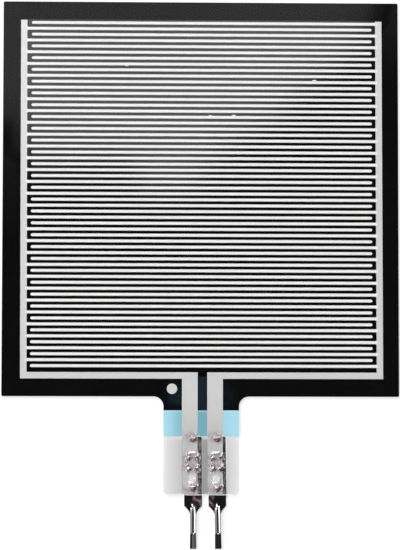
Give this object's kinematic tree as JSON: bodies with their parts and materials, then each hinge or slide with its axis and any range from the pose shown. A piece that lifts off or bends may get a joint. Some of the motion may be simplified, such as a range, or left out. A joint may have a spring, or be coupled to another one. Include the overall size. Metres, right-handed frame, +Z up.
{
  "type": "thin film pressure sensor",
  "caption": "Flat square film sensor with interleaved printed silver fingers over a black coating, a short clear tail and crimped solder pins.",
  "frame": {"origin": "the middle of the square on the rear face, the side that is stuck or laid down", "axes": "+Z up out of the printed side, +Y along the sensor away from its tail, +X to the right seen from the printed side"},
  "size_m": [0.04, 0.0553, 0.0006],
  "materials": {
    "clear_film": "clear polyester film, slightly milky, glossy",
    "silver_ink": "screen printed silver ink seen through film, satin",
    "blue_ink": "thin translucent insulating ink",
    "adhesive": "clear pressure-sensitive adhesive",
    "black_coating": "screen printed carbon ink, satin black",
    "rear_film": "polyester film over the black coating, glossy",
    "tinned_bronze": "tin plated copper alloy, bright, with warm cut edges"
  },
  "bodies": {
    "root": {"electrode_film": "clear_film", "electrode_left": "silver_ink", "electrode_right": "silver_ink", "marker_dot": "silver_ink", "dielectric_band": "blue_ink", "spacer_adhesive": "adhesive", "carbon_layer": "black_coating", "pressure_film": "rear_film", "contact_left": "tinned_bronze", "contact_right": "tinned_bronze"}
  },
  "joints": []
}
